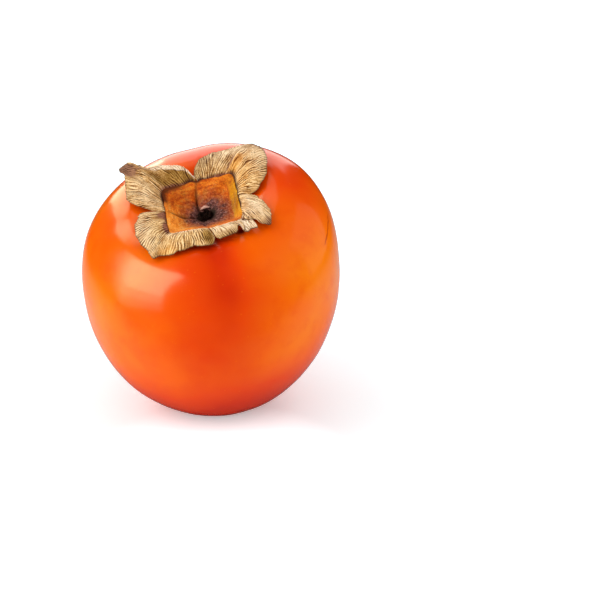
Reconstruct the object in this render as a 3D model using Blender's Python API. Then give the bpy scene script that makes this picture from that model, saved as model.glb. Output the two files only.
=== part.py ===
"""A ripe persimmon lying on the small flat spot that its own weight has pressed into it.

The fruit carries a square calyx cup with four dry sepals, and in the cup the broken stub of the stem.
Metres, +Z up, origin at the middle of the flat spot.

Each piece is modelled in the fruit's own frame: origin at the middle of the girth, Z along the core
from the blossom end to the calyx. The empty "resting_pose" tips that frame over to where it rests.
Azimuths are degrees round the core, anticlockwise from X as seen from the calyx."""

import math

import bmesh
import bpy
import numpy as np
from mathutils import Matrix, Quaternion, Vector

MM = 0.001

# The fruit: a superellipse above the girth and another below it, a little oval and a little three-sided
GIRTH_RADIUS = 40.2 * MM
CROWN_HEIGHT = 30.9 * MM
BASE_DEPTH = 40.7 * MM
CROWN_POWER = 2.96
BASE_POWER = 1.92
OVAL_SHARE, OVAL_AZIMUTH = 0.037, 96.0
TRIANGLE_SHARE, TRIANGLE_AZIMUTH = 0.0096, 50.0
DRIFT = (0.067, 0.0385)  # how far the core leans over in X and Y for each unit of height

# The hollow that the calyx sits in, and four faint furrows that run down from between the sepals
DIMPLE_DEPTH, DIMPLE_RADIUS = 9.8 * MM, 15.0 * MM
FURROW_DEPTHS, FURROW_WIDTH = (0.15 * MM, 0.6 * MM, 0.3 * MM, 0.8 * MM), 10.0  # from the first side round
BLOSSOM_PIT_DEPTH, BLOSSOM_PIT_RADIUS = 1.0 * MM, 3.0 * MM

# How it rests: the calyx leans this far from upright, towards this azimuth
LEAN_ANGLE, LEAN_AZIMUTH = 20.6, -116.2
FLAT_DEPTH = 0.8 * MM  # height of the cap that the flat spot takes off the round base

# The calyx cup: a square dish whose corners carry the sepals and whose sides end in their notches
CALYX_TURN = 8.3  # azimuth of the first side's middle
CUP_HALF_SIDE = 10.6 * MM
CUP_SQUARENESS = 12.0
FRONT_BOW, FRONT_BOW_AZIMUTH, FRONT_BOW_WIDTH = 2.0 * MM, -64.0, 32.0  # the rim bulges towards the front
RIM_HEIGHT = 28.0 * MM
CUP_FLOOR_HEIGHT = 22.6 * MM
CUP_HOLLOW_POWER = 1.5
CREASE_DEPTH, CREASE_WIDTH = 0.4 * MM, 0.9 * MM

STUB_RADIUS, STUB_LENGTH = 2.3 * MM, 1.7 * MM
STUB_OFFSET, STUB_OFFSET_AZIMUTH = 1.2 * MM, -50.0

SEPAL_THICKNESS = 0.8 * MM
SEPAL_BASE_SPREAD = 86.0  # degrees of the cup's rim that one sepal grows from
GAP = 0.35 * MM  # left between pieces that touch

# Each sepal's margin, from one notch to the next: azimuth, reach from the core in mm, height above the
# fruit in mm, and how much the blade arches above the straight line from the rim to that point, in mm.
# "arch_at" is where along the blade the arch is highest.
SEPALS = {
    "sepal_back_left": {
        "corner": 143.3,
        "arch_at": 0.62,
        "margin": (
            (103.8, 11.8, 3.8, 0.2),
            (108.0, 14.2, 4.0, 0.8),
            (118.5, 17.2, 3.8, 1.2),
            (129.5, 20.0, 3.8, 1.2),
            (137.5, 23.2, 3.9, 0.8),
            (140.5, 28.6, 5.2, 0.4),
            (146.5, 29.4, 5.4, 0.2),
            (153.3, 25.2, 4.0, 0.4),
            (162.0, 23.4, 2.5, 0.6),
            (169.5, 22.1, 1.8, 0.6),
            (177.0, 18.8, 1.4, 0.4),
            (182.5, 14.6, 1.4, 0.0),
        ),
    },
    "sepal_back_right": {
        "corner": 53.3,
        "arch_at": 0.45,
        "margin": (
            (5.0, 14.5, 1.4, 0.0),
            (9.0, 17.2, 1.4, 0.3),
            (18.5, 19.9, 1.4, 0.6),
            (27.5, 22.3, 1.5, 0.7),
            (35.5, 24.2, 1.7, 0.8),
            (45.5, 26.8, 2.5, 0.8),
            (51.5, 26.5, 2.9, 0.7),
            (57.5, 26.3, 3.0, 0.8),
            (64.0, 23.6, 2.6, 0.8),
            (74.0, 21.2, 2.6, 0.7),
            (85.5, 19.2, 2.6, 0.6),
            (93.5, 16.8, 2.7, 0.3),
            (100.5, 13.2, 2.7, 0.0),
        ),
    },
    "sepal_front_right": {
        "corner": -36.7,
        "arch_at": 0.4,
        "margin": (
            (-74.6, 18.6, 1.8, 0.6),
            (-72.0, 20.6, 1.9, 0.8),
            (-65.0, 20.9, 2.0, 0.9),
            (-58.0, 20.6, 2.0, 0.8),
            (-52.5, 18.9, 2.0, 0.5),
            (-50.0, 18.6, 2.0, 0.4),
            (-49.0, 22.2, 1.9, 0.3),
            (-44.5, 22.6, 1.9, 0.3),
            (-43.0, 19.2, 1.9, 0.2),
            (-39.5, 19.6, 1.6, 0.4),
            (-37.6, 24.9, 1.5, 0.7),
            (-30.3, 24.0, 1.4, 0.7),
            (-22.0, 21.7, 1.4, 0.7),
            (-15.0, 19.4, 1.4, 0.6),
            (-8.0, 17.2, 1.4, 0.4),
            (1.5, 14.8, 1.4, 0.0),
        ),
    },
    "sepal_front_left": {
        "corner": -126.7,
        "arch_at": 0.4,
        "margin": (
            (-175.0, 14.6, 1.4, 0.0),
            (-172.5, 17.7, 1.4, 0.3),
            (-163.5, 19.5, 1.4, 0.5),
            (-153.5, 21.0, 1.4, 0.6),
            (-143.0, 22.6, 1.4, 0.7),
            (-133.0, 23.8, 1.4, 0.8),
            (-124.5, 25.0, 1.5, 0.8),
            (-119.8, 26.3, 1.6, 0.8),
            (-115.5, 25.0, 1.5, 0.9),
            (-109.0, 24.0, 1.4, 1.0),
            (-100.0, 22.0, 1.4, 1.1),
            (-92.6, 20.4, 1.5, 1.2),
            (-84.5, 21.3, 1.6, 1.3),
            (-79.8, 20.7, 1.7, 1.3),
            (-77.2, 18.6, 1.8, 0.9),
        ),
    },
}

# Fineness of the meshes
FRUIT_SEGMENTS, BASE_RINGS, CROWN_RINGS = 56, 18, 22
CUP_SEGMENTS, CUP_RINGS = 48, 6
STUB_SEGMENTS, STUB_RINGS = 16, 3
SEPAL_COLUMNS, SEPAL_ROWS = 46, 8


def clear_scene():
    for old in list(bpy.data.objects):
        bpy.data.objects.remove(old)


def material(name, colour, roughness):
    made = bpy.data.materials.new(name)
    made.use_nodes = True
    shader = made.node_tree.nodes["Principled BSDF"]
    shader.inputs["Base Color"].default_value = (*colour, 1.0)
    shader.inputs["Roughness"].default_value = roughness
    shader.inputs["Metallic"].default_value = 0.0
    return made


def angle_between(first, second):
    """The smallest turn from one azimuth to another, in degrees, for numbers or arrays."""
    return (first - second + 180.0) % 360.0 - 180.0


def cartesian(azimuth, reach, height):
    """Points in the fruit's frame. The whole fruit, calyx included, drifts sideways as it rises."""
    x = reach * np.cos(np.radians(azimuth)) + DRIFT[0] * height
    y = reach * np.sin(np.radians(azimuth)) + DRIFT[1] * height
    return np.stack([x, y, height], axis=-1)


def girth(azimuth):
    """Radius of the girth: nearly round, slightly oval and slightly three-sided."""
    oval = OVAL_SHARE * np.cos(2 * np.radians(azimuth - OVAL_AZIMUTH))
    triangle = TRIANGLE_SHARE * np.cos(3 * np.radians(azimuth - TRIANGLE_AZIMUTH))
    return GIRTH_RADIUS * (1 + oval + triangle)


def furrows(azimuth, share):
    """Depth of the four furrows. They are deepest on the shoulder and gone at the girth."""
    depth = np.zeros_like(azimuth, dtype=float)
    for side, deepest in enumerate(FURROW_DEPTHS):
        off = angle_between(azimuth, CALYX_TURN + 90.0 * side)
        depth += deepest * np.exp(-((off / FURROW_WIDTH) ** 2))
    return depth * np.sin(math.pi * share**2)


def crown_surface(azimuth, reach):
    """Height of the fruit's upper side, with the hollow for the calyx."""
    share = np.clip(reach / girth(azimuth), 0.0, 1.0)
    dome = CROWN_HEIGHT * (1 - share**CROWN_POWER) ** (1 / CROWN_POWER)
    dimple = DIMPLE_DEPTH * np.exp(-((reach / DIMPLE_RADIUS) ** 2))
    return dome - dimple - furrows(azimuth, share)


def base_surface(azimuth, reach):
    """Height of the fruit's lower side, with the shallow pit at the blossom end."""
    share = np.clip(reach / girth(azimuth), 0.0, 1.0)
    bowl = BASE_DEPTH * (1 - share**BASE_POWER) ** (1 / BASE_POWER)
    pit = BLOSSOM_PIT_DEPTH * np.exp(-((reach / BLOSSOM_PIT_RADIUS) ** 2))
    return pit - bowl


def cup_rim(azimuth):
    """Distance from the core to the rim of the square cup, with rounded corners and a bowed front."""
    turn = np.radians(azimuth - CALYX_TURN)
    power = CUP_SQUARENESS
    across = np.abs(np.cos(turn)) ** power + np.abs(np.sin(turn)) ** power
    bow = FRONT_BOW * np.exp(-((angle_between(azimuth, FRONT_BOW_AZIMUTH) / FRONT_BOW_WIDTH) ** 2))
    return CUP_HALF_SIDE * across ** (-1 / power) + bow


def cup_surface(azimuth, reach):
    """Height of the dished side of the cup. A crease runs from its middle to each notch."""
    share = np.clip(reach / cup_rim(azimuth), 0.0, 1.0)
    height = CUP_FLOOR_HEIGHT + (RIM_HEIGHT - CUP_FLOOR_HEIGHT) * share**CUP_HOLLOW_POWER
    off = angle_between(azimuth * 4, CALYX_TURN * 4) / 4
    aside = reach * np.sin(np.radians(off))
    return height - CREASE_DEPTH * np.exp(-((aside / CREASE_WIDTH) ** 2)) * np.sin(math.pi * share)


def smooth_path(points, positions):
    """Values along a Catmull-Rom curve through evenly spaced points, for positions from 0 to 1."""
    knots = np.array(points, float)
    knots = np.vstack([2 * knots[0] - knots[1], knots, 2 * knots[-1] - knots[-2]])
    along = np.clip(positions, 0.0, 1.0) * (len(points) - 1)
    start = np.minimum(along.astype(int), len(points) - 2)
    u = (along - start)[:, None]
    before, here, there, after = (knots[start + step] for step in range(4))
    return here + 0.5 * u * (
        there - before
        + u * (2 * before - 5 * here + 4 * there - after + u * (3 * (here - there) + after - before))
    )


def add_object(name, bm, surface, pose):
    """Makes an object of the finished bmesh, smooth-shaded, and parents it to the resting pose."""
    bmesh.ops.recalc_face_normals(bm, faces=bm.faces)
    mesh = bpy.data.meshes.new(name)
    bm.to_mesh(mesh)
    bm.free()
    mesh.shade_smooth()
    mesh.set_sharp_from_angle(angle=math.radians(50))
    mesh.materials.append(surface)
    made = bpy.data.objects.new(name, mesh)
    made.parent = pose
    bpy.context.scene.collection.objects.link(made)
    return made


def body_of_rings(first_pole, rings, last_pole):
    """A closed bmesh skinned from one pole over a list of rings to the other pole."""
    bm = bmesh.new()
    loops = [[bm.verts.new(point) for point in ring] for ring in rings]
    count = len(loops[0])
    for upper, lower in zip(loops, loops[1:]):
        for i in range(count):
            j = (i + 1) % count
            bm.faces.new((upper[i], lower[i], lower[j], upper[j]))
    for pole, loop in ((first_pole, loops[0]), (last_pole, loops[-1])):
        tip = bm.verts.new(pole)
        for i in range(count):
            bm.faces.new((tip, loop[i], loop[(i + 1) % count]))
    return bm


def body_of_sheets(upper, lower):
    """A closed bmesh from two grids of points of the same size, walled in along their edges."""
    rows, columns = upper.shape[:2]
    bm = bmesh.new()
    layers = [[[bm.verts.new(p) for p in row] for row in sheet] for sheet in (upper, lower)]
    for layer in layers:
        for i in range(rows - 1):
            for j in range(columns - 1):
                bm.faces.new((layer[i][j], layer[i + 1][j], layer[i + 1][j + 1], layer[i][j + 1]))
    edge = [(0, j) for j in range(columns)]
    edge += [(i, columns - 1) for i in range(1, rows)]
    edge += [(rows - 1, j) for j in range(columns - 2, -1, -1)]
    edge += [(i, 0) for i in range(rows - 2, 0, -1)]
    top, bottom = layers
    for (i, j), (k, m) in zip(edge, edge[1:] + edge[:1]):
        bm.faces.new((top[i][j], top[k][m], bottom[k][m], bottom[i][j]))
    return bm


def fruit_body():
    """The whole round fruit, before the flat spot is pressed into it."""
    azimuths = np.arange(FRUIT_SEGMENTS) * 360.0 / FRUIT_SEGMENTS
    rings = []
    for step in range(1, CROWN_RINGS + 1):
        reach = girth(azimuths) * math.sin(0.5 * math.pi * step / CROWN_RINGS)
        rings.append(cartesian(azimuths, reach, crown_surface(azimuths, reach)))
    for step in range(1, BASE_RINGS):
        reach = girth(azimuths) * math.cos(0.5 * math.pi * step / BASE_RINGS)
        rings.append(cartesian(azimuths, reach, base_surface(azimuths, reach)))
    poles = [cartesian(0.0, 0.0, surface(0.0, 0.0)) for surface in (crown_surface, base_surface)]
    return body_of_rings(poles[0], rings, poles[1])


def press_flat(bm, down):
    """Cuts the flat spot square to "down" and returns its middle."""
    lowest = max(vertex.co.dot(down) for vertex in bm.verts)
    plane_point = down * (lowest - FLAT_DEPTH)
    cut = bmesh.ops.bisect_plane(
        bm,
        geom=[*bm.verts, *bm.edges, *bm.faces],
        dist=0.0001 * MM,
        plane_co=plane_point,
        plane_no=down,
        clear_outer=True,
    )
    edges = [item for item in cut["geom_cut"] if isinstance(item, bmesh.types.BMEdge)]
    flat = bmesh.ops.contextual_create(bm, geom=edges)["faces"][0]
    return flat.calc_center_median_weighted()


def cup_body():
    """The cup: dished above, and below it fills the hollow of the fruit up to the gap."""
    azimuths = np.arange(CUP_SEGMENTS) * 360.0 / CUP_SEGMENTS
    shares = [step / CUP_RINGS for step in range(1, CUP_RINGS + 1)]
    rim = cup_rim(azimuths)
    over = [cartesian(azimuths, rim * share, cup_surface(azimuths, rim * share)) for share in shares]
    under = [
        cartesian(azimuths, rim * share, crown_surface(azimuths, rim * share) + GAP)
        for share in reversed(shares)
    ]
    top = cartesian(0.0, 0.0, CUP_FLOOR_HEIGHT)
    bottom = cartesian(0.0, 0.0, crown_surface(0.0, 0.0) + GAP)
    return body_of_rings(top, over + under, bottom)


def stub_body():
    """The broken end of the stem: a short knob with a domed, slightly hollow top."""
    azimuths = np.arange(STUB_SEGMENTS) * 360.0 / STUB_SEGMENTS
    foot = cup_surface(STUB_OFFSET_AZIMUTH, STUB_RADIUS + STUB_OFFSET) + GAP
    middle = cartesian(STUB_OFFSET_AZIMUTH, STUB_OFFSET, 0.0)
    bark = 1 + 0.08 * np.cos(3 * np.radians(azimuths)) + 0.05 * np.cos(5 * np.radians(azimuths))

    def ring(share, height):
        return middle + cartesian(azimuths, STUB_RADIUS * share * bark, np.full(STUB_SEGMENTS, height))

    rings = [ring(0.45, foot + 0.85 * STUB_LENGTH)]
    for step in range(STUB_RINGS):
        turn = 0.5 * math.pi * step / STUB_RINGS
        rings.append(ring(0.75 + 0.25 * math.sin(turn), foot + STUB_LENGTH * math.cos(turn) ** 0.5))
    rings.append(ring(0.95, foot))
    top = middle + cartesian(0.0, 0.0, foot + 0.7 * STUB_LENGTH)
    bottom = middle + cartesian(0.0, 0.0, foot)
    return body_of_rings(top, rings, bottom)


def sepal_sheet(corner, arch_at, margin):
    """The upper side of one sepal, as rows from the cup's rim to the margin, in fruit azimuth and reach.

    Returns azimuths, reaches and heights, each a grid."""
    along = np.linspace(0.0, 1.0, SEPAL_COLUMNS)
    outward = np.linspace(0.0, 1.0, SEPAL_ROWS)[:, None]
    root_azimuth = corner + (along - 0.5) * SEPAL_BASE_SPREAD
    root_reach = cup_rim(root_azimuth) + GAP
    azimuth, reach, lift, arch = smooth_path(margin, along).T
    reach, lift, arch = reach * MM, lift * MM, arch * MM

    root = np.stack([np.cos(np.radians(root_azimuth)), np.sin(np.radians(root_azimuth))]) * root_reach
    tip = np.stack([np.cos(np.radians(azimuth)), np.sin(np.radians(azimuth))]) * reach
    x, y = (root[axis] * (1 - outward) + tip[axis] * outward for axis in range(2))
    azimuths, reaches = np.degrees(np.arctan2(y, x)), np.hypot(x, y)

    root_lift = RIM_HEIGHT - crown_surface(root_azimuth, root_reach)
    bend = np.sin(math.pi * outward ** (math.log(0.5) / math.log(arch_at)))
    lifts = root_lift * (1 - outward) + lift * outward + arch * bend
    return azimuths, reaches, crown_surface(azimuths, reaches) + lifts


def sepal_body(shape):
    azimuths, reaches, heights = sepal_sheet(**shape)
    upper = cartesian(azimuths, reaches, heights)
    across = np.gradient(upper, axis=1)
    outward = np.gradient(upper, axis=0)
    normal = np.cross(across, outward)
    steepness = np.abs(normal[..., 2]) / np.linalg.norm(normal, axis=-1)
    drop = np.minimum(SEPAL_THICKNESS / steepness, 1.4 * SEPAL_THICKNESS)
    return body_of_sheets(upper, cartesian(azimuths, reaches, heights - drop))


def main():
    clear_scene()
    skin = material("ripe_skin", (0.85, 0.13, 0.01), 0.3)
    cup_flesh = material("dried_cup", (0.42, 0.16, 0.03), 0.7)
    dry_leaf = material("dry_sepal", (0.47, 0.33, 0.14), 0.85)
    dead_wood = material("stem_wood", (0.03, 0.017, 0.01), 0.9)

    pose = bpy.data.objects.new("resting_pose", None)
    bpy.context.scene.collection.objects.link(pose)
    lean = math.radians(LEAN_AZIMUTH)
    hinge = Vector((-math.sin(lean), math.cos(lean), 0.0))
    tilt = Quaternion(hinge, math.radians(LEAN_ANGLE))

    fruit = fruit_body()
    flat_middle = press_flat(fruit, tilt.inverted() @ Vector((0.0, 0.0, -1.0)))
    pose.matrix_world = Matrix.Translation(-(tilt @ flat_middle)) @ tilt.to_matrix().to_4x4()

    add_object("fruit", fruit, skin, pose)
    add_object("calyx_cup", cup_body(), cup_flesh, pose)
    add_object("stem_stub", stub_body(), dead_wood, pose)
    for name, shape in SEPALS.items():
        add_object(name, sepal_body(shape), dry_leaf, pose)


main()
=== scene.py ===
"""The looks of a ripe persimmon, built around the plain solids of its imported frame.

Every piece is rebuilt as a fine mesh from the same formulas as its solid, with the relief that the solid
leaves out, and gets a material made of shader nodes. Metres and degrees.

Each piece is modelled in the fruit's own frame: origin at the middle of the girth, Z along the core from
the blossom end to the calyx, azimuths anticlockwise round the core. The fruit rests tipped over, and
"place" carries points of that frame to where they rest."""

import itertools
import math

import bpy
import numpy as np
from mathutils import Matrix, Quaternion, Vector


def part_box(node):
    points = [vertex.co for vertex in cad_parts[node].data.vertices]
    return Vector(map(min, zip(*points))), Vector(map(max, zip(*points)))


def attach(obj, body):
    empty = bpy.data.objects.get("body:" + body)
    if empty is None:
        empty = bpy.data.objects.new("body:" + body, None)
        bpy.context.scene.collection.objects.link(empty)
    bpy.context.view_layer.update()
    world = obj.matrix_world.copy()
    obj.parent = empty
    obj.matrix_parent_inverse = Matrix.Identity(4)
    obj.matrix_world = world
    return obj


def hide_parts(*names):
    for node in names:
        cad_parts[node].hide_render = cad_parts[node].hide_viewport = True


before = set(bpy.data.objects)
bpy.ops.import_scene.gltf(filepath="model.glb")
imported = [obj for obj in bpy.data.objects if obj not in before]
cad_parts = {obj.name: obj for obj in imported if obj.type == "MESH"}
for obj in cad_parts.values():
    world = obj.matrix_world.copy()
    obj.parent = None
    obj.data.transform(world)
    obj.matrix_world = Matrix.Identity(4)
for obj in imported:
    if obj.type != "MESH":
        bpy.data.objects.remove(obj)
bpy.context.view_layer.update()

MM = 0.001

# ---- Sizes, as the solids have them

# The fruit: a superellipse above the girth and another below it, a little oval and a little three-sided
GIRTH_RADIUS = 40.2 * MM
CROWN_HEIGHT = 30.9 * MM
BASE_DEPTH = 40.7 * MM
CROWN_POWER = 2.96
BASE_POWER = 1.92
OVAL_SHARE, OVAL_AZIMUTH = 0.037, 96.0
TRIANGLE_SHARE, TRIANGLE_AZIMUTH = 0.0096, 50.0
DRIFT = (0.067, 0.0385)  # how far the core leans over in X and Y for each unit of height
DIMPLE_DEPTH, DIMPLE_RADIUS = 9.8 * MM, 15.0 * MM
FURROW_DEPTHS, FURROW_WIDTH = (0.15 * MM, 0.6 * MM, 0.3 * MM, 0.8 * MM), 10.0  # from the first side round
BLOSSOM_PIT_DEPTH, BLOSSOM_PIT_RADIUS = 1.0 * MM, 3.0 * MM
LEAN_ANGLE, LEAN_AZIMUTH = 20.6, -116.2  # how far the resting fruit leans, and which way

# The calyx
CALYX_TURN = 8.3  # azimuth of the first side's middle
CUP_HALF_SIDE = 10.6 * MM
CUP_SQUARENESS = 12.0
RIM_HEIGHT = 28.0 * MM
FRONT_BOW, FRONT_BOW_AZIMUTH, FRONT_BOW_WIDTH = 2.0 * MM, -64.0, 32.0  # the rim bulges towards the front
STUB_RADIUS, STUB_LENGTH = 2.3 * MM, 1.7 * MM
STUB_OFFSET, STUB_OFFSET_AZIMUTH = 1.2 * MM, -50.0

# ---- Finer shape and colour

UNEVENNESS = ((14 * MM, 0.2 * MM), (5 * MM, 0.045 * MM))  # size and height of the skin's dents
FRUIT_SEGMENTS, FRUIT_RINGS = 340, 90  # rings on each side of the girth

# Where the skin is redder, partly its own colour and partly painted shade, which darkens the front between
# the lamps, the front furrow and the underside: how much, and over which heights that comes in
STRIPE_AZIMUTH, STRIPE_WIDTHS = -84.0, (29.0, 41.0)  # the front stripe spreads right and left of there
# The front stripe is partly redder skin and partly painted shade where no lamp falls
STRIPE_BLUSH_AND_SHADE, STRIPE_TOP_BLUSH_AND_SHADE, STRIPE_HEIGHTS = 0.45, 0.35, (-4 * MM, 24 * MM)
FAR_AZIMUTH, FAR_WIDTH, FAR_BLUSH, FAR_HEIGHTS = 50.0, 60.0, 0.4, (5 * MM, 17 * MM)
CROWN_BLUSH, CROWN_HEIGHTS = 0.3, (14 * MM, 26 * MM)
# The front furrow is painted darker red, partly its own colour and partly painted shade
FURROW_AZIMUTH, FURROW_SPREAD, FURROW_BLUSH_AND_SHADE, FURROW_HEIGHTS = -76.5, 8.0, 0.3, (16 * MM, 24 * MM)
# The underside is painted darker: painted shade
BASE_SHADE, BASE_HEIGHTS = 0.7, (4 * MM, -26 * MM)

# A painted shadow on the skin in the gap under the torn sepal, and a fine scratch along the right shoulder
# that fades in over its spread
PAINTED_SHADOW_AZIMUTH, PAINTED_SHADOW_REACH, PAINTED_SHADOW_SIZE = -52.0, 18.9 * MM, 1.5 * MM
SCRATCH_AZIMUTH, SCRATCH_SPREAD, SCRATCH_HEIGHT = -8.5, (11.5, 8.0), 16.7 * MM

RIM_WOBBLE = 0.35 * MM
CUP_SEGMENTS, CUP_RINGS = 280, 70
CUP_UNDER_STEP = 6  # rings of the cup's upper side for each one of its hidden side
CUP_FLOOR_HEIGHT = 22.8 * MM
CUP_WALL_HEIGHT, CUP_WALL_STARTS = 3.2 * MM, (0.45, 0.79)  # the second for the steep right side
RIGHT_SIDE_WIDTH = 44.0
PANEL_BULGE, PANEL_EDGE = 1.3 * MM, 1.8 * MM
# depth and width of the creases, and how wide they are coloured darker
CREASE_DEPTH, CREASE_WIDTH, CREASE_DARK_WIDTH = 0.8 * MM, 0.4 * MM, 0.35 * MM
CREASES = (  # azimuth at the rim, how far it swings round towards the middle, and strength
    (98.3, 24.0, 1.0),
    (188.3, -7.0, 1.0),
    (278.3, 0.0, 0.3),
    (8.3, 0.0, 0.1),
)
RING_WAVER, GRIT_HEIGHT, GRIT_SIZE = 0.2 * MM, 0.16 * MM, 1.3 * MM
PUCKER_HEIGHT, PUCKER_REACH = 0.3 * MM, 4.5 * MM
WITHERED_PLACE, WITHERED_RADIUS = (1.6 * MM, -1.0 * MM), 8.6 * MM
SCAR_PLACE, SCAR_RADIUS = (1.2 * MM, -1.1 * MM), 3.6 * MM

# Patches of the cup: strength, azimuth, spread, sharpness, and where it fades in as shares of the rim
BRIGHT_PANEL = (1.0, -143.0, 44.0, 4, 0.35, 0.6)
# Painted shade over the back-left panel, under the sepal that turns up above it
SHADED_PANEL = (0.45, 146.0, 38.0, 4, 0.1, 0.4)
RIM_SHADES = (  # painted shade along the rim: the left corner, the back side and the notch in its middle
    (1.0, 146.0, 26.0, 4, 0.72, 0.98),
    (0.5, 98.0, 36.0, 4, 0.92, 1.0),
    (0.6, 98.0, 7.0, 2, 0.75, 1.0),
)

# The stub's outline from its hollow middle to its foot, as shares of its radius and of its length
STUB_OUTLINE = ((0.0, 0.75), (0.3, 0.68), (0.5, 0.8), (0.68, 1.0), (0.9, 0.85), (1.1, 0.4), (1.25, 0.0))
STUB_SEGMENTS, STUB_RINGS = 96, 40
STUB_SUNK, STUB_TALLER, LIP_HEIGHT = 0.3 * MM, 0.4 * MM, 0.6 * MM
FIBRE_PATH = ((-1.0, 2.5, 23.6), (-0.2, 2.4, 24.2), (0.8, 2.5, 24.5), (2.1, 2.5, 24.1))  # in mm
FIBRE_WIDTH, FIBRE_HALF_WIDTH, FIBRE_HALF_THICKNESS = 1.1 * MM, 0.5, 0.22  # the halves are shares of it
FIBRE_SEGMENTS, FIBRE_RINGS = 16, 40

SEPAL_BASE_SPREAD = 88.0  # degrees of the cup's rim that one sepal grows from
SEPAL_THICKNESS = 0.3 * MM
SEPAL_COLUMNS, SEPAL_ROWS = 620, 56
SKIN_CLEARANCE = 0.12 * MM
WRINKLE_SPACING, WRINKLE_HEIGHT = 0.74 * MM, 0.17 * MM
WRINKLE_BASE = 0.6  # what height of a wrinkle lies level with the blade
WRINKLE_FORKS = (0.0, 0.4, 0.8)  # shares of the blade where there are more wrinkles
ROOT_LENGTH = 21 * MM  # of the cup's rim, for counting the wrinkles there
WAVE_LENGTH, WAVE_WIDTH, WAVE_HEIGHT = 3.0 * MM, 5.0 * MM, 0.5 * MM
FRAY = ((1.6 * MM, 0.3 * MM), (0.5 * MM, 0.14 * MM))  # length and depth of the margin's teeth
EDGE_STRENGTH, EDGE_WIDTH = 0.85, 0.26 * MM  # of the dark line along the margin, partly its dried brown edge and partly painted shade under it
# The dark along the root's groove is painted shade
ROOT_GROOVE_DEPTH, ROOT_GROOVE_WIDTH, ROOT_SHADE_WIDTH = 0.5 * MM, 0.45 * MM, 0.8 * MM
# Sepal stains, some of which are also painted shade or painted light
STAINS_AND_PAINTED_LIGHT = ("scorch_and_shade", "plum", "olive", "ochre", "pale")
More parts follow.
